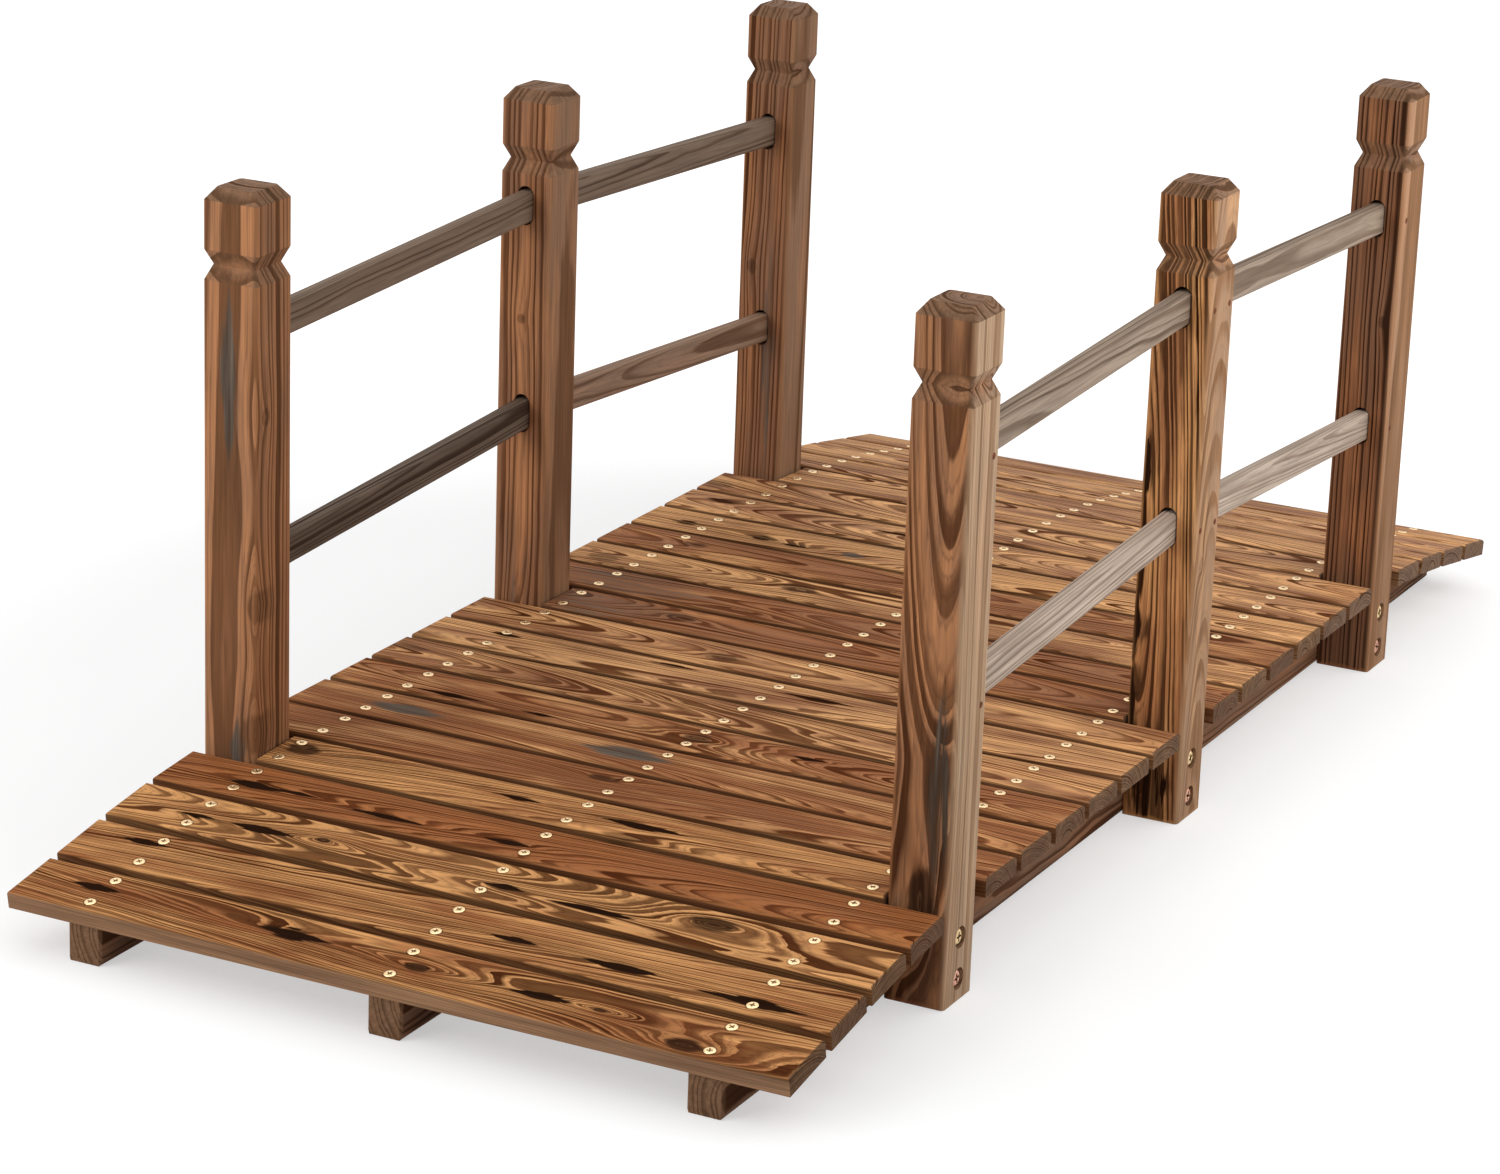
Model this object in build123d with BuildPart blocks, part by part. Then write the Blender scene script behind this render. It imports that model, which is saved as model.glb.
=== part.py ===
# Garden bridge of torched fir: a boarded deck on three stringers, with six capped posts
# and two slanting rails in each bay.  Millimetres, +X along the walk, +Z up, origin on
# the ground under the middle of the deck.
import math
import os

from build123d import *

# Deck boards, which share the walked length with a set gap
deck_length = 1525.0
board_length = 673.0
board_thickness = 15.0
board_gap = 9.2
board_edge_radius = 3.0
boards_each_side = 11
boards_between_posts = 7

# Line of the deck: level in the middle, bent down to a straight slope at both ends
deck_height = 86.5
deck_slope_length = 125.0
deck_bend_radius = 1420.0
deck_end_slope = 9.5

# Stringers on edge under the deck
stringer_width = 30.0
stringer_spacing = 268.0
stringer_setback = 2.0
stringer_edge_chamfer = 2.0

# Posts screwed to the outer faces of the outer stringers
post_side = 51.0
post_edge_radius = 3.5
post_shaft_height = 474.0
neck_height = 24.5
neck_depth = 5.4
cap_height = 40.0
cap_bevel_rise = 10.0
cap_bevel_inset = 7.5
foot_recess_diameter = 18.0
foot_recess_depth = 7.0
foot_recess_heights = (18.0, 52.0)

# Rails let into blind mortises, lower at the end posts than at the middle ones
rail_thickness = 14.0
rail_height = 27.0
rail_edge_radius = 3.0
upper_rail_end_height = 428.0
upper_rail_middle_height = 447.0
lower_rail_end_height = 233.5
lower_rail_middle_height = 259.0
mortise_depth = 20.0
mortise_side_clearance = 1.0
mortise_end_clearance = 4.0

# Clearance between a short board and the posts at its ends
short_board_clearance = 1.0

# Sizes that follow
board_count = 2 * boards_each_side + 1
board_width = (deck_length - (board_count - 1) * board_gap) / board_count
board_pitch = board_width + board_gap
post_spacing = boards_between_posts * board_pitch
post_inner_face = stringer_spacing + stringer_width / 2
post_row = post_inner_face + post_side / 2
short_board_length = 2 * (post_inner_face - short_board_clearance)
mortise_width = rail_thickness + 2 * mortise_side_clearance
mortise_height = rail_height + 2 * mortise_end_clearance
slope = math.radians(deck_end_slope)
bend_length = deck_bend_radius * slope
deck_level_length = deck_length - 2 * (bend_length + deck_slope_length)

os.makedirs("parts", exist_ok=True)


def deck_point(distance):
    """Place (x, z) on the top of the deck and its fall in degrees, by distance walked from the middle."""
    walked = abs(distance)
    side = math.copysign(1, distance)
    past_level = walked - deck_level_length / 2
    if past_level <= 0:
        return distance, deck_height, 0
    turn = min(past_level / deck_bend_radius, slope)
    straight = max(past_level - bend_length, 0)
    run = deck_bend_radius * math.sin(turn) + straight * math.cos(turn)
    drop = deck_bend_radius * (1 - math.cos(turn)) + straight * math.sin(turn)
    return side * (deck_level_length / 2 + run), deck_height - drop, side * math.degrees(turn)


# Deck boards, numbered from the near end
for index in range(-boards_each_side, boards_each_side + 1):
    x, z, fall = deck_point(index * board_pitch)
    at_post = index % boards_between_posts == 0
    length = short_board_length if at_post else board_length
    top = Plane(origin=(x, 0, z)).rotated((0, fall, 0))
    with BuildPart() as board:
        with BuildSketch(top):
            Rectangle(board_width, length)
        extrude(amount=-board_thickness)
        fillet(board.faces().sort_by(Axis.Z)[-1].edges(), radius=board_edge_radius)
    name = f"deck_board_{index + boards_each_side + 1:02d}"
    board.part.label = name
    export_step(board.part, f"parts/{name}.step")

# Stringers: the top follows the underside of the boards, the bottom lies on the ground
end_board_x = deck_point(boards_each_side * board_pitch)[0]
deck_end = end_board_x + board_width / 2 * math.cos(slope) - board_thickness * math.sin(slope)
stringer_end = deck_end - stringer_setback
bed_height = deck_height - board_thickness
bed_radius = deck_bend_radius - board_thickness
level_end = deck_level_length / 2
bend_end_x = level_end + bed_radius * math.sin(slope)
bend_end_z = bed_height - bed_radius * (1 - math.cos(slope))
tip_z = bend_end_z - (stringer_end - bend_end_x) * math.tan(slope)
for hand, side in (("left", 1), ("middle", 0), ("right", -1)):
    with BuildPart() as stringer:
        with BuildSketch(Plane.XZ.offset(-side * stringer_spacing)):
            with BuildLine():
                Line((0, 0), (stringer_end, 0))
                Line((stringer_end, 0), (stringer_end, tip_z))
                Line((stringer_end, tip_z), (bend_end_x, bend_end_z))
                RadiusArc((bend_end_x, bend_end_z), (level_end, bed_height), -bed_radius)
                Line((level_end, bed_height), (0, bed_height))
                Line((0, bed_height), (0, 0))
            make_face()
        extrude(amount=stringer_width / 2, both=True)
        mirror(about=Plane.YZ)
        sides = stringer.faces().filter_by(Axis.Y)
        chamfer(sides.edges(), length=stringer_edge_chamfer)
    name = f"stringer_{hand}"
    stringer.part.label = name
    export_step(stringer.part, f"parts/{name}.step")


def rail_level(distance, end_height, middle_height):
    """Height of a rail's centre line at a distance from the middle posts."""
    return middle_height + (end_height - middle_height) * distance / post_spacing


# Posts: a straight shaft and cap joined by a V-shaped neck, mortised for the rails
cap_base = post_shaft_height + neck_height
cap_shoulder = cap_base + cap_height
neck_middle = post_shaft_height + neck_height / 2
straights = ((0, post_shaft_height), (cap_base, cap_height))
bevels = (
    (post_shaft_height, neck_middle, neck_depth),
    (cap_base, neck_middle, neck_depth),
    (cap_shoulder, cap_shoulder + cap_bevel_rise, cap_bevel_inset),
)
rail_levels = (
    (upper_rail_end_height, upper_rail_middle_height),
    (lower_rail_end_height, lower_rail_middle_height),
)
mortise_middle = post_side / 2 - mortise_depth / 2
for place, post_x, open_faces in (
    ("near", -post_spacing, (1,)),
    ("middle", 0, (-1, 1)),
    ("far", post_spacing, (-1,)),
):
    for hand, side in (("left", 1), ("right", -1)):
        with BuildPart() as post:
            for base, height in straights:
                with BuildSketch(Plane(origin=(post_x, side * post_row, base))):
                    RectangleRounded(post_side, post_side, post_edge_radius)
                extrude(amount=height)
            for base, tip, inset in bevels:
                for height, width in ((base, post_side), (tip, post_side - 2 * inset)):
                    with BuildSketch(Plane(origin=(post_x, side * post_row, height))):
                        RectangleRounded(width, width, post_edge_radius)
                loft(ruled=True)
            for face in open_faces:
                for end_height, middle_height in rail_levels:
                    level = rail_level(abs(post_x + face * mortise_middle), end_height, middle_height)
                    mouth = Plane(
                        origin=(post_x + face * post_side / 2, side * post_row, level),
                        x_dir=(0, 0, 1),
                        z_dir=(face, 0, 0),
                    )
                    with BuildSketch(mouth):
                        SlotOverall(mortise_height, mortise_width)
                    extrude(amount=-mortise_depth, mode=Mode.SUBTRACT)
            outer_face = Plane(
                origin=(post_x, side * (post_row + post_side / 2), 0), x_dir=(1, 0, 0), z_dir=(0, side, 0)
            )
            with BuildSketch(outer_face):
                with Locations([(0, -side * height) for height in foot_recess_heights]):
                    Circle(foot_recess_diameter / 2)
            extrude(amount=-foot_recess_depth, mode=Mode.SUBTRACT)
        name = f"post_{hand}_{place}"
        post.part.label = name
        export_step(post.part, f"parts/{name}.step")

# Rails: straight pieces with plumb ends that bottom in the mortises
rail_inner_x = post_side / 2 - mortise_depth
rail_outer_x = post_spacing - rail_inner_x
for bay, way in (("near", -1), ("far", 1)):
    for hand, side in (("left", 1), ("right", -1)):
        for tier, (end_height, middle_height) in zip(("upper", "lower"), rail_levels):
            with BuildPart() as rail:
                inner_z = rail_level(rail_inner_x, end_height, middle_height)
                outer_z = rail_level(rail_outer_x, end_height, middle_height)
                with BuildSketch(Plane.XZ.offset(-side * post_row)):
                    with BuildLine():
                        Polyline(
                            (way * rail_inner_x, inner_z - rail_height / 2),
                            (way * rail_outer_x, outer_z - rail_height / 2),
                            (way * rail_outer_x, outer_z + rail_height / 2),
                            (way * rail_inner_x, inner_z + rail_height / 2),
                            close=True,
                        )
                    make_face()
                extrude(amount=rail_thickness / 2, both=True)
                long_edges = rail.edges().sort_by(SortBy.LENGTH)[-4:]
                fillet(long_edges, radius=rail_edge_radius)
            name = f"rail_{tier}_{hand}_{bay}"
            rail.part.label = name
            export_step(rail.part, f"parts/{name}.step")
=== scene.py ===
import bmesh
import bpy
import math
import random
from collections import namedtuple
from mathutils import Euler
from mathutils import Matrix
from mathutils import Vector


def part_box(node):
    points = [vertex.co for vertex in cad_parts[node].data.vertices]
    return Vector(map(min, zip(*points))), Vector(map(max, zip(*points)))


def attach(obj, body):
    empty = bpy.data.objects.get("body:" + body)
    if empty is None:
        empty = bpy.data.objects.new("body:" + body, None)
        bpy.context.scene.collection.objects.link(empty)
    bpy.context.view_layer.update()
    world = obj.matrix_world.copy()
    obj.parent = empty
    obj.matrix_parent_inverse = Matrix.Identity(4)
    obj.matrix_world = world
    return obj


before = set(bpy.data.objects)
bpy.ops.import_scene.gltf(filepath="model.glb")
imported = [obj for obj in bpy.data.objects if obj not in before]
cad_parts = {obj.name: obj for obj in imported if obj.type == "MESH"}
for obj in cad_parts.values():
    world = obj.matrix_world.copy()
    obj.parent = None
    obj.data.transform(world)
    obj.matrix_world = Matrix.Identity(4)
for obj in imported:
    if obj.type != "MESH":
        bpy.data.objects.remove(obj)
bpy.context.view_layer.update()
scene = bpy.context.scene
scene.view_settings.view_transform = "Standard"
draw = random.Random(23)
mm = 0.001
least_upward = 0.9

# Camera at the photograph's angle
camera_place = (-3.4614, -1.64435, 1.38273)
camera_turn_degrees = (72.0373, -1.9522, -62.7687)
camera_lens = 111.176
camera_sensor = 36.0

# Stage and light
floor_half = 6.0
floor_drop = 0.5 * mm
floor_bounce_share = 0.9
floor_seen_share = 0.54
floor_glow = 0.49
floor_glow_far = 0.8
floor_glow_reach = (0.7, 1.25)
sky_strength = 0.25
sky_seen_strength = 1.0
softboxes = {
    "right": {"place": (0.3, -0.8, 0.56), "target": (0.3, 0.0, 0.5), "size": (1.8, 0.5), "power": 5.8},
    "front": {"place": (-2.6, 1.6, 1.4), "target": (0.0, 0.0, 0.2), "size": (2.2, 1.6), "power": 40.0},
    "top": {"place": (0.3, 0.0, 4.5), "target": (0.3, 0.0, 0.0), "size": (8.0, 8.0), "power": 170.0},
}

# Screws in the boards, the post feet and the posts' outer faces
deck_screw_radius = 4.7 * mm
deck_screw_rise = 0.6 * mm
deck_screw_row = 267 * mm
deck_screw_offset = 17.2 * mm
# Reach of the dark rim round each deck screw: burn stain and painted shade of the countersink
deck_screw_stain_and_shade = 1.3 * deck_screw_radius
foot_screw_radius = 7.6 * mm
foot_screw_rise = 5.8 * mm
foot_recess_depth = 7.0 * mm
foot_screw_heights = (18 * mm, 52 * mm)
rail_screw_radius = 2.7 * mm
rail_screw_rise = 0.4 * mm
rail_screw_offset = 16 * mm
rail_screw_below_top = 15 * mm
rail_screw_above_bottom = 14 * mm
foot_screw_finishes = (2, 0)
screw_turn_jitter = math.pi / 2

# Film and scratches on the screws' metal
film_waves = (900, 900, 900)
film_seed = (3, 5, 7)
film_range = (0.45, 0.75)
film_rough = 0.3
scratch_waves = (400, 5000, 400)
scratch_seed = (1, 9, 4)
scratch_bump = 0.15
scratch_height = 0.1 * mm

# Shape of a screw head, in shares of its radius and rise: the dome's rings, then the cross recess
head_sides = 24
head_rings = ((1.0, 0.0), (1.0, 0.35), (0.9, 0.72), (0.7, 0.95), (0.58, 1.0))
recess_level = 0.1
recess_rings = ((1.0, 1.0), (0.8, recess_level))
cross_arm = 0.52
cross_waist = 0.12

# Noises of the grain, in waves a metre along and across it
fine_fibre_waves = (16, 900, 900)
coarse_fibre_waves = (9, 240, 240)
slow_bend_waves = (5.5, 17, 17)
quick_bend_waves = (26, 70, 70)
scorch_waves = (4.5, 30, 30)
streak_waves = (6.5, 42, 42)
ragged_waves = (30, 200, 200)
scorch_seed_shift = (7, 3, 5)
seed_range = (10, 90)

# Growth rings: their bends and uneven spacing, and the thin lines within them
fine_fibre_share = 0.5
slow_bend = 2.6
quick_bend = 0.4
fibre_bend = 0.2
uneven_turn = 2.3
uneven_share = 0.28
hairs_in_ring = 3.3
hair_bend = 1.4
hair_width = (0.2, 0.02)
hair_share = 0.4

# Late wood: the share of a ring at which it starts, sooner where it is scorched, and its strength
late_start = 0.9
late_start_spread = 0.18
late_start_scorched = 0.9
late_start_least = 0.4
late_ramp = (0.3, 0.03)
late_end = (1.0, 0.95)
late_least = 0.55
late_spread = 0.45

# Torching: where scorch, flame marks and swelling rings turn dark, and ash
scorch_range = (0.45, 0.8)
lift_range = (0.8, 4.5)
lift_scorch = 0.3
char_range = (0.3, 0.9)
flame_fibre_feather = 0.8
flame_coarse_feather = 0.9
flame_late_range = (0.42, 0.66)
flame_char_range = (0.6, 0.85)
ash_feather = 0.9
ash_range = (0.28, 0.85)
ash_grey_share = 0.5
knot_share = 0.85
# Share of the dark rim round screws: burn stain and painted shade
stain_and_shade_share = 0.7

# Early wood from pale to brown, weathering, and the shade of single fibres
browning_range = (0.32, 0.66)
browning_share = 0.85
browning_in_ring = 0.3
grey_range = (0.35, 0.65)
fibre_shade = 1.6
fibre_shade_least = 0.22

# Worn arrises, painted shade on the flanks in the gaps, painted sheen and light on the right-hand faces, and
# end grain
worn_ragged = 6 * mm
worn_range = (4.2 * mm, 0.4 * mm)
flank_range = (0.6 * mm, 0.1 * mm)
painted_sheen_range = (6 * mm, 0.0)
painted_sheen_streaks = 0.9
painted_sheen_least = 0.35
painted_sheen_late_share = 0.35
end_range = (0.2, 0.6)
end_share = 0.85
end_late_share = 0.5

# Surface of the wood
rough_least = 0.6
rough_late = 0.1
rough_fibre = 0.1
fibre_bump = 0.35
fibre_height = 0.8 * mm

# Shapes of marks, whose rims lie at 1
mark_depth = 40 * mm
ragged_spread = 0.9
swell_stretch = 0.2
swell_ragged = 0.12
lens_point = 1.3
round_range = (1.15, 0.75)
lens_range = (1.45, 0.4)
flame_reach = 1.6
ash_reach = 1.4


def tone(red, green, blue):
    """Linear colour from display values between 0 and 255."""
    levels = [channel / 255 for channel in (red, green, blue)]
    return tuple(c / 12.92 if c <= 0.04045 else ((c + 0.055) / 1.055) ** 2.4 for c in levels) + (1.0,)


# Wood tones: pale early wood, brown early wood, late wood
deck_tones = (tone(214, 156, 98), tone(150, 87, 45), tone(72, 35, 16))
calm_deck_tones = (tone(226, 170, 114), tone(140, 81, 44), tone(84, 44, 22))
orange_tones = (tone(176, 120, 78), tone(130, 83, 52), tone(82, 49, 30))
soft_tones = (tone(174, 119, 78), tone(130, 86, 57), tone(102, 68, 46))
striped_tones = (tone(208, 150, 94), tone(148, 90, 50), tone(42, 22, 11))
brown_tones = (tone(156, 102, 64), tone(110, 68, 41), tone(44, 24, 14))
# Rail tones: one wood, in copies darkened by painted shade and paled by painted light
rail_tones = (tone(146, 128, 111), tone(127, 109, 93), tone(104, 87, 73))
painted_light_rail_tones = (tone(186, 168, 152), tone(168, 150, 134), tone(130, 112, 98))
painted_shade_rail_tones = (tone(126, 105, 87), tone(109, 89, 72), tone(86, 68, 56))
tan_rail_tones = (tone(154, 123, 100), tone(138, 107, 85), tone(114, 87, 69))
deep_painted_shade_rail_tones = (tone(98, 81, 67), tone(85, 69, 57), tone(66, 52, 43))
stringer_tones = (tone(146, 102, 72), tone(118, 80, 55), tone(78, 50, 34))
char_tone = tone(40, 24, 15)
ash_tone = tone(70, 64, 60)
knot_tone = tone(60, 40, 28)
grey_tone = tone(146, 128, 110)
# Painted sheen and light: paler, greyer tones for the right-hand faces
painted_sheen_tone = tone(150, 120, 92)
pale_painted_sheen_tone = tone(174, 147, 118)
warm_painted_sheen_tone = tone(170, 130, 97)
side_tone = tone(136, 107, 84)
# Painted shade on the flanks in the gaps between boards
painted_gap_shade_tone = tone(84, 54, 34)
end_tone = tone(118, 88, 65)
board_end_tone = tone(86, 66, 51)


class Graph:
    """Adds nodes to a shader tree.  A value is a number, a tuple or another node's socket."""

    def __init__(self, tree):
        self.tree = tree

    def node(self, kind, inputs=None, **settings):
        """New node with its settings made and its inputs fed."""
        new = self.tree.nodes.new(kind)
        for name, value in settings.items():
            setattr(new, name, value)
        for name, value in (inputs or {}).items():
            self.feed(new.inputs[name], value)
        return new

    def feed(self, socket, value):
        """Links another node's socket, or sets a plain value."""
        if isinstance(value, bpy.types.NodeSocket):
            self.tree.links.new(value, socket)
        else:
            socket.default_value = value

    def math(self, operation, *values, clamp=False):
        """Result of a math node."""
        new = self.node("ShaderNodeMath", operation=operation, use_clamp=clamp)
        for socket, value in zip(new.inputs, values):
            self.feed(socket, value)
        return new.outputs[0]

    def vector(self, operation, *values):
        """Result of a vector math node, a number for a length or a dot product."""
        new = self.node("ShaderNodeVectorMath", operation=operation)
        for socket, value in zip(new.inputs, values):
            self.feed(socket, value)
        return new.outputs["Value" if operation in ("LENGTH", "DOT_PRODUCT") else "Vector"]

    def parts(self, vector):
        """X, Y and Z of a vector."""
        return self.node("ShaderNodeSeparateXYZ", {"Vector": vector}).outputs

    def noise(self, place, stretch, seed, detail=2.0, roughness=0.5):
        """Noise between 0 and 1 with so many waves a metre along each axis."""
        waves = self.vector("MULTIPLY_ADD", place, stretch, seed)
        settings = {"Vector": waves, "Scale": 1.0, "Detail": detail, "Roughness": roughness}
        return self.node("ShaderNodeTexNoise", settings).outputs[0]

    def centred(self, value):
        """A value from 0 to 1 moved to run from -0.5 to 0.5."""
        return self.math("SUBTRACT", value, 0.5)

    def step(self, value, start, end):
        """Smooth step from 0 at start to 1 at end."""
        settings = {"Value": value, "From Min": start, "From Max": end}
        return self.node("ShaderNodeMapRange", settings, interpolation_type="SMOOTHSTEP").outputs[0]

    def mix(self, share, first, second, blend="MIX"):
        """Mix of two colours, which sockets 6 and 7 of the node take."""
        new = self.node("ShaderNodeMix", data_type="RGBA", blend_type=blend)
        for socket, value in zip((new.inputs[0], new.inputs[6], new.inputs[7]), (share, first, second)):
            self.feed(socket, value)
        return new.outputs[2]


def new_group(name, inputs, outputs):
    """A node group with its graph, its input sockets and a function that sets its outputs."""
    tree = bpy.data.node_groups.new(name, "ShaderNodeTree")
    for direction, sockets in (("INPUT", inputs), ("OUTPUT", outputs)):
        for label, kind in sockets:
            tree.interface.new_socket(label, in_out=direction, socket_type="NodeSocket" + kind)
    graph = Graph(tree)
    given = graph.node("NodeGroupInput").outputs
    end = graph.node("NodeGroupOutput")

    def give(**results):
        for label, value in results.items():
            graph.feed(end.inputs[label], value)

    return tree, graph, given, give


def mark_group():
    """A knot or flame mark: a round and a lens-shaped patch, and the rings that swell round it."""
    inputs = (
        ("Position", "Vector"), ("Place", "Vector"), ("Axis", "Vector"),
        ("Length", "Float"), ("Width", "Float"), ("Depth", "Float"),
        ("Rings", "Float"), ("Reach", "Float"), ("Ragged", "Float"),
    )
    outputs = (("Round", "Float"), ("Lens", "Float"), ("Lift", "Float"))
    tree, graph, given, give = new_group("wood_mark", inputs, outputs)
    ragged = given["Ragged"]

    # Place on the face, in lengths of the mark along the grain and widths across it
    offset = graph.vector("SUBTRACT", given["Position"], given["Place"])
    depth = graph.vector("DOT_PRODUCT", offset, given["Axis"])
    inward = graph.node("ShaderNodeVectorMath", {0: given["Axis"], "Scale": depth}, operation="SCALE")
    flat = graph.vector("SUBTRACT", offset, inward.outputs[0])
    aside = graph.vector("LENGTH", graph.vector("MULTIPLY", flat, (0, 1, 1)))
    along = graph.math("DIVIDE", graph.parts(flat)["X"], given["Length"])
    across = graph.math("DIVIDE", aside, given["Width"])

    # Distances from the middle of each shape
    square = graph.math("MULTIPLY", along, along)
    ellipse = graph.math("SQRT", graph.math("MULTIPLY_ADD", across, across, square))
    ellipse = graph.math("ADD", ellipse, ragged)
    pointed = graph.math("POWER", graph.math("ABSOLUTE", along), lens_point)
    lens = graph.math("ADD", graph.math("ADD", across, pointed), ragged)
    stretched = graph.math("MULTIPLY", square, swell_stretch)
    swell = graph.math("SQRT", graph.math("MULTIPLY_ADD", across, across, stretched))
    swell = graph.math("MULTIPLY_ADD", ragged, swell_ragged, swell)

    near = graph.step(graph.math("ABSOLUTE", depth), given["Depth"], 0.0)
    fade = graph.math("EXPONENT", graph.math("DIVIDE", graph.math("MULTIPLY", swell, -1.0), given["Reach"]))
    give(
        Round=graph.math("MULTIPLY", graph.step(ellipse, *round_range), near),
        Lens=graph.math("MULTIPLY", graph.step(lens, *lens_range), near),
        Lift=graph.math("MULTIPLY", graph.math("MULTIPLY", fade, given["Rings"]), near),
    )
    return tree


def fibres(graph, given):
    """Fibres along the grain, and the coarse ones alone."""
    place, seed = given["Position"], given["Seed"]
    fine = graph.noise(place, fine_fibre_waves, seed, detail=2.0, roughness=0.65)
    coarse = graph.noise(place, coarse_fibre_waves, seed, detail=1.0)
    rest = graph.math("MULTIPLY", coarse, 1 - fine_fibre_share)
    return graph.math("MULTIPLY_ADD", fine, fine_fibre_share, rest), coarse


def ring_count(graph, given, fibre):
    """Rings counted from the leaning heart, bent by slow and quick waves, marks and fibres."""
    place, seed = given["Position"], given["Seed"]
    along = graph.parts(place)["X"]
    stations = graph.node("ShaderNodeCombineXYZ", {"X": along, "Y": along, "Z": along}).outputs[0]
    heart = graph.vector("MULTIPLY_ADD", given["Lean"], stations, given["Heart"])
    distance = graph.vector("LENGTH", graph.vector("SUBTRACT", place, heart))
    slow = graph.centred(graph.noise(place, slow_bend_waves, seed))
    quick = graph.centred(graph.noise(place, quick_bend_waves, seed, detail=1.0))
    bends = graph.math("MULTIPLY_ADD", quick, quick_bend, graph.math("MULTIPLY", slow, slow_bend))
    count = graph.math("ADD", graph.math("DIVIDE", distance, given["Ring"]), given["Lift"])
    count = graph.math("MULTIPLY_ADD", bends, given["Wave"], count)
    uneven = graph.math("SINE", graph.math("MULTIPLY", count, uneven_turn))
    count = graph.math("MULTIPLY_ADD", uneven, uneven_share, count)
    return graph.math("MULTIPLY_ADD", graph.math("MULTIPLY", fibre, given["Wave"]), fibre_bend, count)


def scorching(graph, given):
    """Patches of scorch, flame marks and the rings that swell round marks."""
    seed = graph.vector("ADD", given["Seed"], scorch_seed_shift)
    patches = graph.noise(given["Position"], scorch_waves, seed, detail=3.0, roughness=0.6)
    burnt = graph.math("MULTIPLY", graph.step(patches, *scorch_range), given["Scorch"])
    burnt = graph.math("MAXIMUM", burnt, given["Flame"])
    return graph.math("MULTIPLY_ADD", graph.step(given["Lift"], *lift_range), lift_scorch, burnt)


def late_wood(graph, given, count, fibre, coarse):
    """Late wood at the end of each ring and in flame marks, and how far it is charred."""
    passed = graph.math("FRACT", count)
    number = graph.math("FLOOR", count)
    strength = graph.node("ShaderNodeTexWhiteNoise", {"W": number}, noise_dimensions="1D").outputs["Value"]
    burnt = scorching(graph, given)
    start = graph.math("MULTIPLY_ADD", strength, -late_start_spread, late_start)
    start = graph.math("MULTIPLY_ADD", burnt, -late_start_scorched, start)
    start = graph.math("MAXIMUM", start, late_start_least)
    foot = graph.math("SUBTRACT", start, late_ramp[0])
    full = graph.math("ADD", start, late_ramp[1])
    late = graph.math("MULTIPLY", graph.step(passed, foot, full), graph.step(passed, *late_end))
    late = graph.math("MULTIPLY", late, graph.math("MULTIPLY_ADD", strength, late_spread, late_least))
    feather = graph.math("MULTIPLY_ADD", graph.centred(fibre), flame_fibre_feather, given["Flame"])
    feather = graph.math("MULTIPLY_ADD", graph.centred(coarse), flame_coarse_feather, feather)
    late = graph.math("MAXIMUM", late, graph.step(feather, *flame_late_range))
    charred = graph.math("MAXIMUM", graph.step(burnt, *char_range), graph.step(feather, *flame_char_range))
    return late, charred


def early_wood(graph, given, streaks, count, fibre):
    """Colour of the early wood from pale to brown, with thin lines and weathering."""
    passed = graph.math("FRACT", count)
    shift = graph.centred(given["Browning"])
    browning = graph.step(graph.math("ADD", streaks, shift), *browning_range)
    browning = graph.math("MULTIPLY", browning, browning_share)
    late_in_ring = graph.math("MULTIPLY", passed, passed)
    browning = graph.math("MULTIPLY_ADD", late_in_ring, browning_in_ring, browning, clamp=True)
    colour = graph.mix(browning, given["Pale"], given["Brown"])
    bent = graph.math("MULTIPLY", fibre, hair_bend)
    hair = graph.math("FRACT", graph.math("MULTIPLY_ADD", count, hairs_in_ring, bent))
    hair = graph.step(graph.math("ABSOLUTE", graph.centred(hair)), *hair_width)
    colour = graph.mix(graph.math("MULTIPLY", hair, hair_share), colour, given["Late"])
    weather = graph.math("MULTIPLY", graph.step(streaks, *grey_range), given["Grey"])
    return graph.mix(weather, colour, grey_tone)


def edge_colour(graph, given, colour, streaks, late, coarse):
    """Adds worn arrises, painted shade on the flanks in the gaps, painted sheen and light on the right-hand
    face, and end grain.
    """
    place, half = given["Position"], given["Half"]
    gaps = graph.parts(graph.vector("SUBTRACT", half, graph.vector("ABSOLUTE", place)))
    lower = graph.math("MINIMUM", gaps["Y"], gaps["Z"])
    upper = graph.math("MAXIMUM", gaps["Y"], gaps["Z"])
    to_edge = graph.math("MAXIMUM", lower, graph.math("MINIMUM", upper, gaps["X"]))
    ragged = graph.math("MULTIPLY_ADD", coarse, worn_ragged, -worn_ragged / 2)
    worn = graph.step(graph.math("ADD", to_edge, ragged), *worn_range)
    colour = graph.mix(graph.math("MULTIPLY", worn, given["Edge"]), colour, given["Pale"])

    # On the boards after the first, the flank tone is painted shade in the gaps
    flank = graph.math("MULTIPLY", graph.step(gaps["Y"], *flank_range), given["Flank"])
    colour = graph.mix(flank, colour, given["Side"])

    # Painted sheen and light, in streaks, on the right-hand face
    to_right_face = graph.math("ADD", graph.parts(place)["Y"], graph.parts(half)["Y"])
    streaked = graph.math("MULTIPLY_ADD", streaks, painted_sheen_streaks, painted_sheen_least, clamp=True)
    facing = graph.math("MULTIPLY", graph.step(to_right_face, *painted_sheen_range), streaked)
    painted_sheen_colour = graph.mix(graph.math("MULTIPLY", late, painted_sheen_late_share), given["PaintedSheenColour"], given["Brown"])
    colour = graph.mix(graph.math("MULTIPLY", facing, given["PaintedSheen"]), colour, painted_sheen_colour)

    end = graph.math("MULTIPLY", graph.step(given["Across"], *end_range), end_share)
    end_rings = graph.mix(graph.math("MULTIPLY", late, end_late_share), given["End"], char_tone)
    return graph.mix(end, colour, end_rings)


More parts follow.
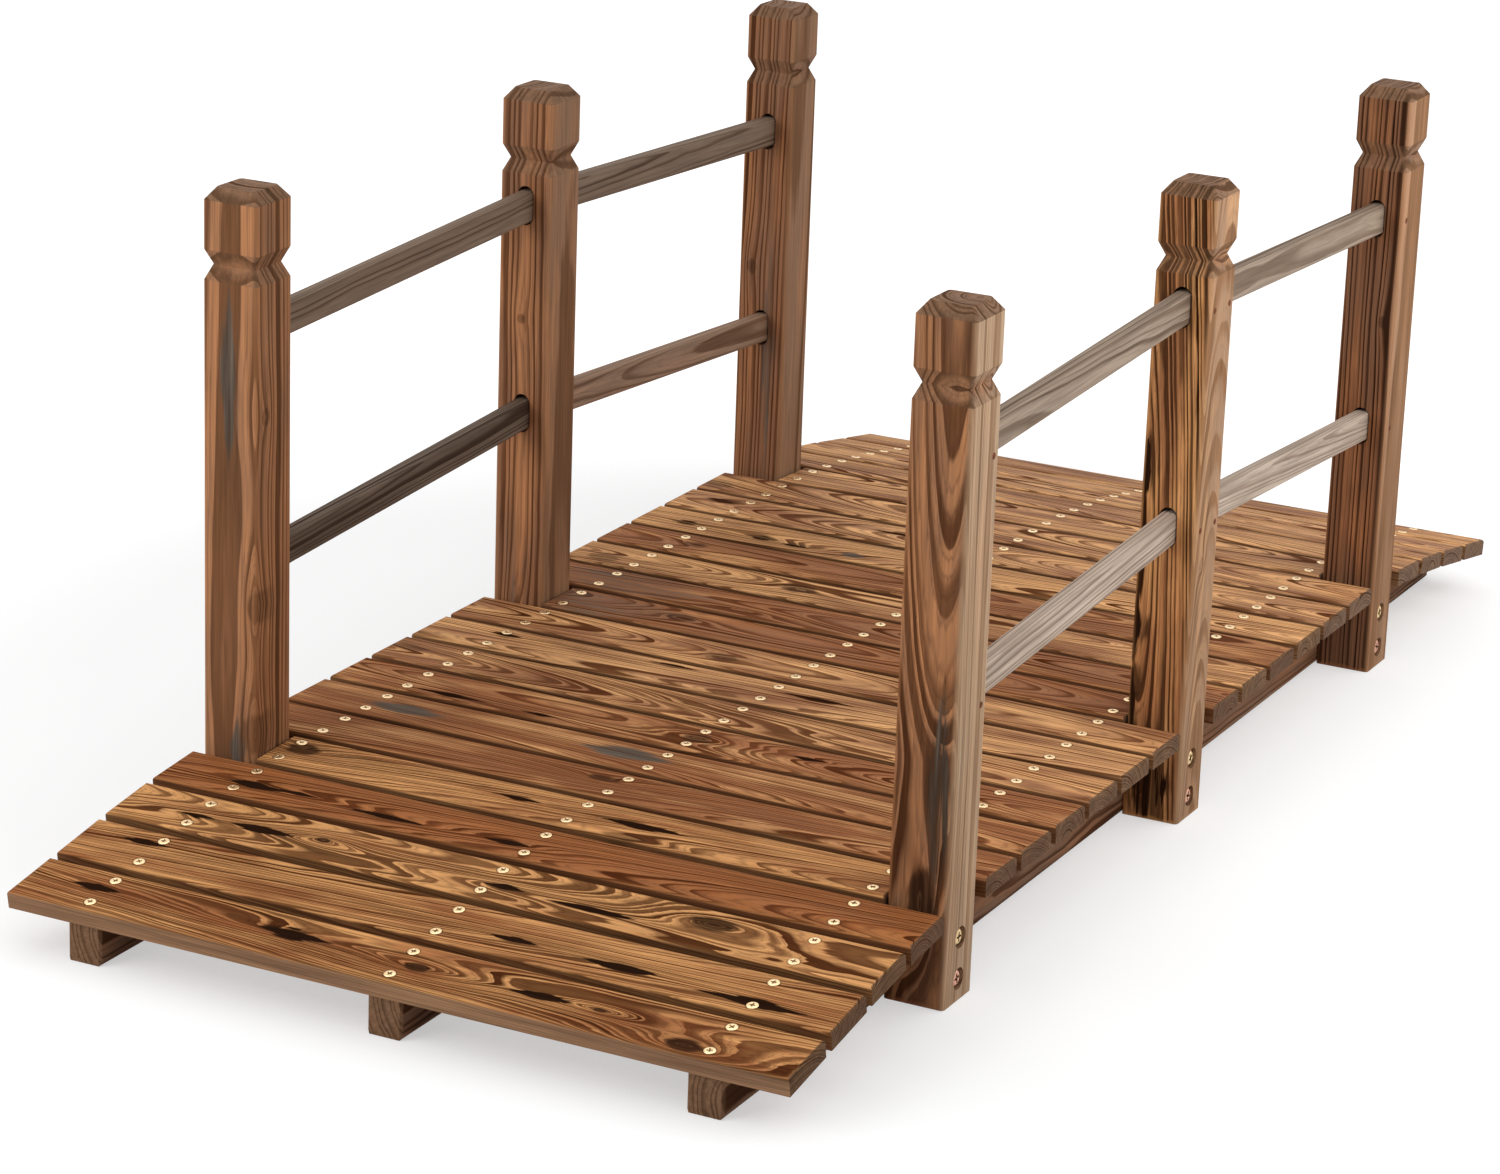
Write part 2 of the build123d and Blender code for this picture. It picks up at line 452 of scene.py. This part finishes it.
def mark_colour(graph, given, colour, fibre, coarse):
    """Adds ash, knots, the burn stain and painted shade round screws, and the shade of single fibres."""
    ashen = graph.math("MULTIPLY_ADD", graph.centred(coarse), ash_feather, given["Ash"])
    ashen = graph.step(ashen, *ash_range)
    dust = graph.mix(ash_grey_share, ash_tone, grey_tone)
    colour = graph.mix(ashen, colour, graph.mix(fibre, char_tone, dust))
    knot_wood = graph.mix(fibre, char_tone, knot_tone)
    colour = graph.mix(graph.math("MULTIPLY", given["Knot"], knot_share), colour, knot_wood)
    # Burn stain and painted shade round the screws
    colour = graph.mix(graph.math("MULTIPLY", given["StainAndShade"], stain_and_shade_share), colour, char_tone)
    shade = graph.math("MULTIPLY_ADD", fibre, fibre_shade, fibre_shade_least)
    grey = graph.node("ShaderNodeCombineColor", {0: shade, 1: shade, 2: shade}).outputs[0]
    return graph.mix(1.0, colour, grey, "MULTIPLY")


def fir_group():
    """Torched fir as a solid: growth rings about a leaning heart, fibres, scorching and worn edges."""
    inputs = (
        ("Position", "Vector"), ("Seed", "Vector"), ("Half", "Vector"), ("Heart", "Vector"), ("Lean", "Vector"),
        ("Ring", "Float"), ("Wave", "Float"), ("Lift", "Float"), ("Knot", "Float"), ("Flame", "Float"),
        ("Ash", "Float"), ("StainAndShade", "Float"), ("Pale", "Color"), ("Brown", "Color"), ("Late", "Color"),
        ("Browning", "Float"), ("Scorch", "Float"), ("Grey", "Float"), ("Edge", "Float"), ("Flank", "Float"),
        ("Side", "Color"), ("End", "Color"), ("PaintedSheen", "Float"), ("PaintedSheenColour", "Color"), ("Across", "Float"),
        ("Gloss", "Float"),
    )
    outputs = (("Color", "Color"), ("Roughness", "Float"), ("Height", "Float"), ("Specular", "Float"))
    tree, graph, given, give = new_group("fir", inputs, outputs)
    streaks = graph.noise(given["Position"], streak_waves, given["Seed"], detail=3.0, roughness=0.6)
    fibre, coarse = fibres(graph, given)
    count = ring_count(graph, given, fibre)
    late, charred = late_wood(graph, given, count, fibre, coarse)
    colour = early_wood(graph, given, streaks, count, fibre)
    colour = graph.mix(late, colour, graph.mix(charred, given["Late"], char_tone))
    colour = edge_colour(graph, given, colour, streaks, late, coarse)
    colour = mark_colour(graph, given, colour, fibre, coarse)
    rough = graph.math("MULTIPLY_ADD", late, rough_late, rough_least)
    matte = graph.math("MAXIMUM", late, given["Knot"])
    bright = graph.math("SUBTRACT", 1.0, matte, clamp=True)
    give(
        Color=colour,
        Roughness=graph.math("MULTIPLY_ADD", fibre, rough_fibre, rough),
        Height=fibre,
        Specular=graph.math("MULTIPLY", given["Gloss"], bright),
    )
    return tree


fir = fir_group()
wood_mark = mark_group()
Mark = namedtuple("Mark", "shape kind share x y length width rings reach face")


def flame(x, y, length, width, rings=1.6, face="front", share=1.0):
    """Dark pointed mark where the flame was held."""
    return Mark("Lens", "Flame", share, x, y, length, width, rings, flame_reach, face)


def ash(x, y, length, width, rings=0.8, face="front", share=0.88):
    """Grey pointed mark."""
    return Mark("Lens", "Ash", share, x, y, length, width, rings, ash_reach, face)


def knot(x, y, length, width, rings=9.0, reach=2.0, face="front", share=1.0):
    """Dark round knot with rings about it."""
    return Mark("Round", "Knot", share, x, y, length, width, rings, reach, face)


def bulge(x, y, length, width, rings=3.0, reach=1.5, face="front"):
    """Rings that swell with no mark in the middle."""
    return Mark("Lens", "Lift", 0.0, x, y, length, width, rings, reach, face)


def piece_frame(node, turn):
    """Middle, half sizes and turn of a piece, whose own X axis runs along its grain."""
    matrix = turn.to_matrix()
    own = [matrix.transposed() @ corner.co for corner in node.data.vertices]
    low = Vector([min(point[axis] for point in own) for axis in range(3)])
    high = Vector([max(point[axis] for point in own) for axis in range(3)])
    return matrix @ ((low + high) / 2), (high - low) / 2, turn


def fall_of(node):
    """Angle by which the largest upper face of a board or rail falls along X."""
    upper_faces = [face for face in node.data.polygons if face.normal.z > least_upward]
    top = max(upper_faces, key=lambda face: face.area)
    return math.atan2(top.normal.x, top.normal.z)


def board_turn(node):
    """Turn of a board: its grain across the bridge, its top square to the fall of the deck."""
    return Euler((fall_of(node), 0, math.pi / 2))


def add_marks(graph, position, seed, half, marks):
    """Adds a piece's marks, and gives the strongest of each kind and the summed lift of the rings."""
    totals = {"Lift": 0.0, "Flame": 0.0, "Ash": 0.0, "Knot": 0.0}
    ragged = 0.0
    if marks:
        ragged = graph.noise(position, ragged_waves, seed, detail=3.0)
        ragged = graph.math("MULTIPLY_ADD", ragged, ragged_spread, -ragged_spread / 2)
    for mark in marks:
        x, y = mark.x * mm, mark.y * mm
        front = mark.face == "front"
        values = {
            "Position": position,
            "Place": (x, y, half.z) if front else (x, -half.y, y),
            "Axis": (0, 0, 1) if front else (0, -1, 0),
            "Length": mark.length * mm,
            "Width": mark.width * mm,
            "Depth": mark_depth,
            "Rings": mark.rings,
            "Reach": mark.reach,
            "Ragged": ragged if mark.share else 0.0,
        }
        shapes = graph.node("ShaderNodeGroup", values, node_tree=wood_mark).outputs
        if mark.share:
            patch = graph.math("MULTIPLY", shapes[mark.shape], mark.share)
            totals[mark.kind] = graph.math("MAXIMUM", totals[mark.kind], patch)
        totals["Lift"] = graph.math("ADD", totals["Lift"], shapes["Lift"])
    return totals


def screw_stain_and_shade(graph, position):
    """Dark rim round each screw of a board: burn stain and painted shade of the countersink."""
    parts = graph.parts(position)
    row = graph.math("ABSOLUTE", parts["X"])
    row = graph.math("MINIMUM", row, graph.math("ABSOLUTE", graph.math("SUBTRACT", row, deck_screw_row)))
    aside = graph.math("SUBTRACT", graph.math("ABSOLUTE", parts["Y"]), deck_screw_offset)
    reach = graph.math("SQRT", graph.math("MULTIPLY_ADD", row, row, graph.math("MULTIPLY", aside, aside)))
    return graph.step(reach, deck_screw_stain_and_shade, deck_screw_radius)


def wood(name, turn, tones, heart, lean, ring, wave, browning, scorch, grey, edge, flank=0.0, side=painted_gap_shade_tone,
         end=end_tone, painted_sheen=0.0, painted_sheen_colour=painted_sheen_tone, gloss=0.08, marks=(), screws=False):
    """Gives a piece its own fir material.  Marks, ring and heart are in millimetres on the piece."""
    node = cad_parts[name]
    middle, half, turn = piece_frame(node, turn)
    material = bpy.data.materials.new("fir_" + name)
    material.use_nodes = True
    graph = Graph(material.node_tree)
    shader = material.node_tree.nodes["Principled BSDF"]
    spot = graph.node("ShaderNodeTexCoord").outputs["Object"]
    own_place = {"Vector": spot, "Location": middle, "Rotation": turn}
    position = graph.node("ShaderNodeMapping", own_place, vector_type="TEXTURE").outputs[0]
    normal = graph.node("ShaderNodeNewGeometry").outputs["True Normal"]
    own_normal = graph.node("ShaderNodeMapping", {"Vector": normal, "Rotation": turn}, vector_type="TEXTURE")
    seed = tuple(draw.uniform(*seed_range) for axis in range(3))
    values = {
        "Position": position,
        "Seed": seed,
        "Half": half,
        "Heart": (0, heart[0] * mm, heart[1] * mm),
        "Lean": (1, *lean),
        "Ring": ring * mm,
        "Wave": wave,
        "StainAndShade": screw_stain_and_shade(graph, position) if screws else 0.0,
        "Pale": tones[0],
        "Brown": tones[1],
        "Late": tones[2],
        "Browning": browning,
        "Scorch": scorch,
        "Grey": grey,
        "Edge": edge,
        "Flank": flank,
        "Side": side,
        "End": end,
        "PaintedSheen": painted_sheen,
        "PaintedSheenColour": painted_sheen_colour,
        "Across": graph.math("ABSOLUTE", graph.parts(own_normal.outputs[0])["X"]),
        "Gloss": gloss,
        **add_marks(graph, position, seed, half, marks),
    }
    timber = graph.node("ShaderNodeGroup", values, node_tree=fir).outputs
    relief = {"Strength": fibre_bump, "Distance": fibre_height, "Height": timber["Height"]}
    graph.feed(shader.inputs["Base Color"], timber["Color"])
    graph.feed(shader.inputs["Roughness"], timber["Roughness"])
    graph.feed(shader.inputs["Specular IOR Level"], timber["Specular"])
    graph.feed(shader.inputs["Normal"], graph.node("ShaderNodeBump", relief).outputs[0])
    for slot in node.material_slots:
        slot.material = material


# Marks seen on the boards, by number from the near end: x to the left, y towards the near end
board_marks = {
    1: (
        flame(276, -3, 26, 5), flame(98, -3, 36, 8, rings=5), knot(-14, 1, 11, 6),
        flame(-118, 0, 34, 5, rings=3), knot(-168, 0, 6, 3), knot(-246, 18, 15, 9),
        bulge(-60, 8, 40, 14), bulge(40, -6, 40, 12), bulge(190, 2, 50, 12),
    ),
    2: (
        flame(282, -10, 24, 5), flame(-62, 5, 24, 4, rings=3), flame(-151, 8, 36, 6, rings=4),
        flame(-268, 14, 48, 6, rings=3), bulge(150, 0, 70, 16),
    ),
    3: (
        flame(265, 4, 20, 4), flame(205, 3, 34, 6, rings=4), knot(153, -2, 7, 4),
        flame(-15, 6, 20, 5, rings=3), flame(-92, 10, 46, 5, rings=4),
        knot(-187, -8, 20, 11, rings=12), bulge(70, 2, 60, 14),
    ),
    4: (
        flame(255, 6, 30, 6, rings=3), flame(214, 4, 20, 3), flame(130, 10, 38, 5, rings=3),
        flame(20, 7, 22, 5),
    ),
    5: (
        knot(258, -6, 16, 11), flame(55, -3, 26, 4), flame(-57, 0, 44, 6),
        knot(-55, 24, 20, 5, rings=2, share=0.7),
    ),
    6: (knot(18, -8, 15, 7, share=0.8),),
    7: (ash(237, 3, 44, 14), ash(31, -3, 50, 16), bulge(-110, -4, 90, 14)),
    8: (
        knot(-2, 0, 14, 10, share=0.8), flame(136, 20, 18, 4), flame(223, 18, 36, 5),
        flame(-101, -4, 20, 4, share=0.8),
    ),
    9: (
        knot(320, -3, 20, 8, rings=2, share=0.5), bulge(45, -3, 50, 16, rings=5),
        bulge(-105, 10, 44, 14, rings=5),
    ),
    10: (
        flame(102, -17, 26, 6, share=0.7), flame(263, -11, 17, 7, share=0.7),
        flame(-40, -6, 42, 6, share=0.7),
    ),
    11: (knot(79, 7, 17, 9, rings=3, share=0.6), knot(-150, 6, 12, 7, rings=3, share=0.5)),
    # On boards 12 and 13 the wide ash patches at the left end are grey patches and painted shade of the nearby
    # post
    12: (knot(157, -4, 16, 9, rings=5, share=0.6), ash(250, 0, 120, 60, rings=0, share=0.5)),
    13: (bulge(118, 14, 52, 16, rings=6), ash(240, 0, 110, 60, rings=0, share=0.5)),
    14: (knot(107, -2, 19, 12, rings=6, share=0.8), knot(302, 12, 17, 10, rings=3, share=0.6)),
    15: (knot(250, -2, 13, 8, rings=2, share=0.55),),
    16: (
        flame(205, 12, 17, 8, rings=4, share=0.65), flame(170, 16, 17, 7, rings=4, share=0.65),
        flame(287, 8, 17, 8, share=0.65), ash(111, 13, 16, 8),
    ),
    17: (flame(292, -7, 27, 8, share=0.65), flame(90, -4, 44, 7, share=0.65)),
    18: (knot(322, 11, 17, 11, rings=3, share=0.5),),
}

# How brown each board is, with drawn values for the far ones
board_browning = {
    1: 0.5, 2: 0.44, 3: 0.3, 4: 0.72, 5: 0.42, 6: 0.62, 7: 0.58, 8: 0.6, 9: 0.5,
    10: 0.42, 11: 0.5, 12: 0.72, 13: 0.68, 14: 0.42, 15: 0.62, 16: 0.38, 17: 0.46,
}
far_browning = (0.42, 0.52)

# Boards: wavy grain up to the near posts and calm grain beyond, with drawn hearts and rings
near_boards = 5
near_board_look = {"tones": deck_tones, "wave": (0.8, 1.3), "scorch": (0.2, 0.45)}
calm_board_look = {"tones": calm_deck_tones, "wave": (0.3, 0.6), "scorch": (0.1, 0.35)}
board_heart_aside = 30
board_heart_depths = (20, 46)
board_lean_aside = 0.03
board_lean_down = (0.02, 0.05)
board_ring = (1.5, 2.1)
first_grey_board = 9
near_grey = 0.05
far_grey = 0.15
first_glossy_board = 17
near_gloss = 0.08
far_gloss = 0.2
board_count = len([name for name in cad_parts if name.startswith("deck_board")])
for number in range(1, board_count + 1):
    name = f"deck_board_{number:02d}"
    look = near_board_look if number <= near_boards else calm_board_look
    wood(
        name,
        board_turn(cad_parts[name]),
        look["tones"],
        heart=(draw.uniform(-board_heart_aside, board_heart_aside), -draw.uniform(*board_heart_depths)),
        lean=(
            draw.uniform(-board_lean_aside, board_lean_aside),
            draw.uniform(*board_lean_down) * draw.choice((-1, 1)),
        ),
        ring=draw.uniform(*board_ring),
        wave=draw.uniform(*look["wave"]),
        browning=board_browning.get(number, draw.uniform(*far_browning)),
        scorch=draw.uniform(*look["scorch"]),
        grey=near_grey if number < first_grey_board else far_grey,
        edge=0.12,
        flank=0.75,
        side=side_tone if number == 1 else painted_gap_shade_tone,
        end=board_end_tone,
        gloss=near_gloss if number < first_glossy_board else far_gloss,
        marks=board_marks.get(number, ()),
        screws=True,
    )

# Posts, from their middles: hearts left and front, marks up and left, on the right face up and front
# Each post's right-hand face carries a share of painted sheen and light
posts = {
    "left_near": dict(
        tones=soft_tones, heart=(-2, -37), lean=(0.0, 0.0), ring=6.0, wave=0.08,
        browning=0.38, scorch=0.25, grey=0.1,
        marks=(
            bulge(-115, 0, 250, 200, rings=-0.95, reach=0.5),
            ash(120, 1, 90, 9, rings=0, share=0.85),
            ash(-186, -8, 30, 9, rings=0, share=0.75),
            knot(-64, -25, 14, 9, rings=2, reach=1.2, share=0.55),
            knot(-172, -24, 18, 12, rings=2.4, reach=1.2, share=0.55),
            knot(92, 12, 8, 6, rings=1.5, face="right", share=0.5),
        ),
    ),
    "left_middle": dict(
        tones=orange_tones, heart=(64, -10), lean=(0.012, 0.004), ring=6.2, wave=0.4,
        browning=0.52, scorch=0.25, grey=0.15, painted_sheen=0.45,
        marks=(
            knot(70, 2, 5, 4, rings=1, share=0.5),
            knot(-205, 4, 8, 6, rings=2, share=0.6),
            ash(-150, 8, 120, 9, share=0.4),
        ),
    ),
    "left_far": dict(
        tones=orange_tones, heart=(58, 14), lean=(-0.014, 0.004), ring=5.6, wave=0.25,
        browning=0.6, scorch=0.25, grey=0.15, painted_sheen=0.6,
        marks=(knot(20, 12, 8, 5, rings=1.5, share=0.5), ash(-60, -8, 150, 9, rings=0.4, share=0.6)),
    ),
    "right_near": dict(
        tones=orange_tones, heart=(-11, -9), lean=(0.0, 0.0), ring=4.2, wave=0.18,
        browning=0.44, scorch=0.25, grey=0.15, painted_sheen=0.95, painted_sheen_colour=pale_painted_sheen_tone,
        marks=(
            bulge(-75, -11, 110, 400, rings=5, reach=1.0),
            ash(-100, -13, 105, 12, rings=0, share=0.6),
            flame(-105, -14, 90, 12, rings=0, share=0.66),
            knot(-192, -2, 30, 13, rings=5, reach=1.3, share=0.95),
        ),
    ),
    "right_middle": dict(
        tones=striped_tones, heart=(25, -9), lean=(0.07, 0.0), ring=3.7, wave=0.3,
        browning=0.52, scorch=1.1, grey=0.05, painted_sheen=0.9,
        marks=(
            knot(-50, 8, 8, 6, rings=1, reach=1.0, face="right", share=0.3),
            flame(30, 25, 40, 12, rings=0, share=0.8),
            flame(-105, 24, 34, 12, rings=0, share=0.8),
            flame(-180, 22, 44, 10, rings=0, share=0.7),
            flame(-244, 4, 54, 22, rings=0.4, share=0.6),
            bulge(-30, 26, 110, 40, rings=-3, reach=1.0),
        ),
    ),
    "right_far": dict(
        tones=brown_tones, heart=(62, -6), lean=(0.006, 0.0), ring=5.0, wave=0.25,
        browning=0.6, scorch=0.4, grey=0.1, painted_sheen=0.85, painted_sheen_colour=warm_painted_sheen_tone,
        marks=(knot(60, -14, 6, 4, rings=1, share=0.6),),
    ),
}
upright = Euler((0, -math.pi / 2, 0))
for place, look in posts.items():
    wood("post_" + place, upright, edge=0.6, gloss=0.2, **look)

# Rails, most of the left ones darker by painted shade and the lower right ones paler by painted light, with
# drawn hearts and rings
rails = {
    "upper_left_near": painted_shade_rail_tones,
    "upper_left_far": painted_shade_rail_tones,
    "lower_left_near": deep_painted_shade_rail_tones,
    "lower_left_far": tan_rail_tones,
    "upper_right_near": rail_tones,
    "upper_right_far": rail_tones,
    "lower_right_near": painted_light_rail_tones,
    "lower_right_far": painted_light_rail_tones,
}
rail_heart_aside = (20, 60)
rail_heart_height = 20
rail_lean = 0.02
rail_ring = (2.4, 3.4)
rail_browning = (0.4, 0.65)
for place, tones in rails.items():
    name = "rail_" + place
    wood(
        name,
        Euler((0, fall_of(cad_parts[name]), 0)),
        tones,
        heart=(-draw.uniform(*rail_heart_aside), draw.uniform(-rail_heart_height, rail_heart_height)),
        lean=(draw.uniform(-rail_lean, rail_lean), draw.uniform(-rail_lean, rail_lean)),
        ring=draw.uniform(*rail_ring),
        wave=0.45,
        browning=draw.uniform(*rail_browning),
        scorch=0.2,
        grey=0.3,
        edge=0.3,
        gloss=0.2,
    )

# Stringers
stringer_heart_height = 30
for side in ("left", "middle", "right"):
    wood(
        f"stringer_{side}",
        Euler((0, 0, 0)),
        stringer_tones,
        heart=(-40, draw.uniform(-stringer_heart_height, stringer_heart_height)),
        lean=(0.01, 0.01),
        ring=5.0,
        wave=0.7,
        browning=0.55,
        scorch=0.5,
        grey=0.35,
        edge=0.3,
    )


def metal(name, colour, wear_colour, roughness, metallic=1.0):
    """Screw metal with a worn film and fine scratches."""
    material = bpy.data.materials.new(name)
    material.use_nodes = True
    graph = Graph(material.node_tree)
    shader = material.node_tree.nodes["Principled BSDF"]
    spot = graph.node("ShaderNodeTexCoord").outputs["Object"]
    film = graph.noise(spot, film_waves, film_seed, detail=3.0)
    scratches = graph.noise(spot, scratch_waves, scratch_seed, detail=2.0)
    relief = {"Strength": scratch_bump, "Distance": scratch_height, "Height": scratches}
    worn = graph.step(film, *film_range)
    graph.feed(shader.inputs["Base Color"], graph.mix(worn, colour, wear_colour))
    graph.feed(shader.inputs["Roughness"], graph.math("MULTIPLY_ADD", film, film_rough, roughness))
    graph.feed(shader.inputs["Metallic"], metallic)
    graph.feed(shader.inputs["Normal"], graph.node("ShaderNodeBump", relief).outputs[0])
    return material


brass = metal("screw_brass", tone(240, 212, 168), tone(218, 176, 122), roughness=0.25)
# Dark metal in the cross recesses: painted shade of the recess
recess_shade_metal = metal("screw_recess_painted_shade", tone(120, 84, 48), tone(70, 46, 28), roughness=0.5)
foot_brass = metal("screw_foot_brass", tone(244, 214, 160), tone(214, 168, 108), roughness=0.3, metallic=0.4)
copper = metal("screw_copper", tone(232, 176, 150), tone(200, 128, 100), roughness=0.3, metallic=0.4)
rust = metal("screw_rust", tone(112, 62, 40), tone(64, 34, 24), roughness=0.5)


def circle_outline():
    """Points round a head, in shares of its radius."""
    angles = [step * 2 * math.pi / head_sides for step in range(head_sides)]
    return [(math.cos(angle), math.sin(angle)) for angle in angles]


def cross_outline():
    """Points round the cross recess, as many as a head has sides."""
    middle = (cross_arm + cross_waist) / 2
    arm = (
        (cross_arm, 0), (cross_arm, cross_waist), (middle, cross_waist),
        (cross_waist, cross_waist), (cross_waist, middle), (cross_waist, cross_arm),
    )
    turns = [Matrix.Rotation(quarter * math.pi / 2, 2) for quarter in range(4)]
    return [turn @ Vector(point) for turn in turns for point in arm]


head_levels = [(circle_outline(), *ring) for ring in head_rings]
head_levels += [(cross_outline(), *ring) for ring in recess_rings]


def add_screw(mesh, place, radius, rise, finish=0, recess=1):
    """A cross-head screw head whose own Z axis points out of the wood, added to a mesh."""
    loops = []
    for outline, scale, level in head_levels:
        points = [Vector((x * scale * radius, y * scale * radius, level * rise)) for x, y in outline]
        loops.append([mesh.verts.new(place @ point) for point in points])
    for index, (outer, inner) in enumerate(zip(loops, loops[1:])):
        in_recess = index >= len(head_rings)
        for step in range(head_sides):
            after = (step + 1) % head_sides
            face = mesh.faces.new((outer[step], outer[after], inner[after], inner[step]))
            face.material_index = recess if in_recess else finish
            face.smooth = not in_recess
    floor_point = mesh.verts.new(place @ Vector((0, 0, recess_level * rise)))
    for step in range(head_sides):
        face = mesh.faces.new((loops[-1][step], loops[-1][(step + 1) % head_sides], floor_point))
        face.material_index = recess


def drawn_twist():
    """Chance turn of a screw about its own axis."""
    return Matrix.Rotation(draw.uniform(0, screw_turn_jitter), 4, "Z")


def add_piece(name, mesh, materials):
    """Makes a piece of a mesh, riding on the one body."""
    data = bpy.data.meshes.new(name)
    mesh.to_mesh(data)
    mesh.free()
    for material in materials:
        data.materials.append(material)
    piece = bpy.data.objects.new(name, data)
    scene.collection.objects.link(piece)
    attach(piece, "root")
    return piece


# Deck screws, two to a board in each row, set square to the board
for row_name, row in (("left", deck_screw_row), ("middle", 0.0), ("right", -deck_screw_row)):
    mesh = bmesh.new()
    for number in range(1, board_count + 1):
        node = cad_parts[f"deck_board_{number:02d}"]
        middle, half, turn = piece_frame(node, board_turn(node))
        board = Matrix.Translation(middle) @ turn.to_matrix().to_4x4()
        for side in (-1, 1):
            spot = Matrix.Translation((row, side * deck_screw_offset, half.z))
            add_screw(mesh, board @ spot @ drawn_twist(), deck_screw_radius, deck_screw_rise)
    add_piece(f"deck_screws_{row_name}", mesh, (brass, recess_shade_metal))

# Foot and rail screws in the outer faces of the posts, the lower foot screws of copper
for side_name, side in (("left", 1), ("right", -1)):
    out = Matrix.Rotation(-side * math.pi / 2, 4, "X")
    foot_mesh = bmesh.new()
    rail_mesh = bmesh.new()
    for place, bays in (("near", (1,)), ("middle", (-1, 1)), ("far", (-1,))):
        low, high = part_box(f"post_{side_name}_{place}")
        post_x = (low.x + high.x) / 2
        face_y = high.y if side > 0 else low.y
        for height, finish in zip(foot_screw_heights, foot_screw_finishes):
            spot = Matrix.Translation((post_x, face_y - side * foot_recess_depth, height))
            turn = out @ drawn_twist()
            add_screw(foot_mesh, spot @ turn, foot_screw_radius, foot_screw_rise, finish=finish)
        for bay in bays:
            bay_name = "far" if bay > 0 else "near"
            for tier in ("upper", "lower"):
                rail_low, rail_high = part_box(f"rail_{tier}_{side_name}_{bay_name}")
                height = rail_low.z + rail_screw_above_bottom
                if place == "middle":
                    height = rail_high.z - rail_screw_below_top
                spot = Matrix.Translation((post_x + bay * rail_screw_offset, face_y, height))
                turn = out @ drawn_twist()
                add_screw(rail_mesh, spot @ turn, rail_screw_radius, rail_screw_rise)
    add_piece(f"foot_screws_{side_name}", foot_mesh, (foot_brass, recess_shade_metal, copper))
    add_piece(f"rail_screws_{side_name}", rail_mesh, (rust, recess_shade_metal))

# Camera
camera_data = bpy.data.cameras.new("camera")
camera = bpy.data.objects.new("camera", camera_data)
scene.collection.objects.link(camera)
camera_data.sensor_width = camera_sensor
camera_data.lens = camera_lens
camera.location = camera_place
camera.rotation_euler = [math.radians(angle) for angle in camera_turn_degrees]
scene.camera = camera


def seen_directly(graph):
    """1 for camera, mirror and glass rays, 0 for light that bounces about."""
    path = graph.node("ShaderNodeLightPath").outputs
    mirrored = graph.math("MAXIMUM", path["Is Glossy Ray"], path["Is Transmission Ray"])
    return graph.math("MAXIMUM", path["Is Camera Ray"], mirrored)


# Floor, white where it is seen, with the object's shadow
mesh = bpy.data.meshes.new("floor")
corners = [(x * floor_half, y * floor_half, -floor_drop) for x, y in ((-1, -1), (1, -1), (1, 1), (-1, 1))]
mesh.from_pydata(corners, [], [(0, 1, 2, 3)])
floor = bpy.data.objects.new("floor", mesh)
scene.collection.objects.link(floor)
floor_material = bpy.data.materials.new("floor")
floor_material.use_nodes = True
mesh.materials.append(floor_material)
graph = Graph(floor_material.node_tree)
seen = seen_directly(graph)
white = [floor_bounce_share] * 3 + [1.0]
paper = [floor_seen_share] * 3 + [1.0]
matte = graph.node("ShaderNodeBsdfDiffuse", {"Color": graph.mix(seen, white, paper)})
away = graph.vector("LENGTH", graph.node("ShaderNodeTexCoord").outputs["Object"])
glow_rise = floor_glow_far - floor_glow
glow_level = graph.math("MULTIPLY_ADD", graph.step(away, *floor_glow_reach), glow_rise, floor_glow)
glow = graph.node("ShaderNodeEmission", {"Strength": graph.math("MULTIPLY", seen, glow_level)})
both = graph.node("ShaderNodeAddShader", {0: matte.outputs[0], 1: glow.outputs[0]})
graph.feed(floor_material.node_tree.nodes["Material Output"].inputs["Surface"], both.outputs[0])

# Light: an even sky and three softboxes
world = bpy.data.worlds.new("world")
scene.world = world
world.use_nodes = True
graph = Graph(world.node_tree)
sky = world.node_tree.nodes["Background"]
sky_levels = {"Value": seen_directly(graph), "To Min": sky_strength, "To Max": sky_seen_strength}
graph.feed(sky.inputs["Color"], (1, 1, 1, 1))
graph.feed(sky.inputs["Strength"], graph.node("ShaderNodeMapRange", sky_levels).outputs[0])
for side, box in softboxes.items():
    lamp = bpy.data.lights.new("softbox_" + side, "AREA")
    lamp.shape = "RECTANGLE"
    lamp.size, lamp.size_y = box["size"]
    lamp.energy = box["power"]
    softbox = bpy.data.objects.new("softbox_" + side, lamp)
    scene.collection.objects.link(softbox)
    softbox.location = box["place"]
    aim = Vector(box["target"]) - Vector(box["place"])
    softbox.rotation_euler = aim.to_track_quat("-Z", "Y").to_euler()
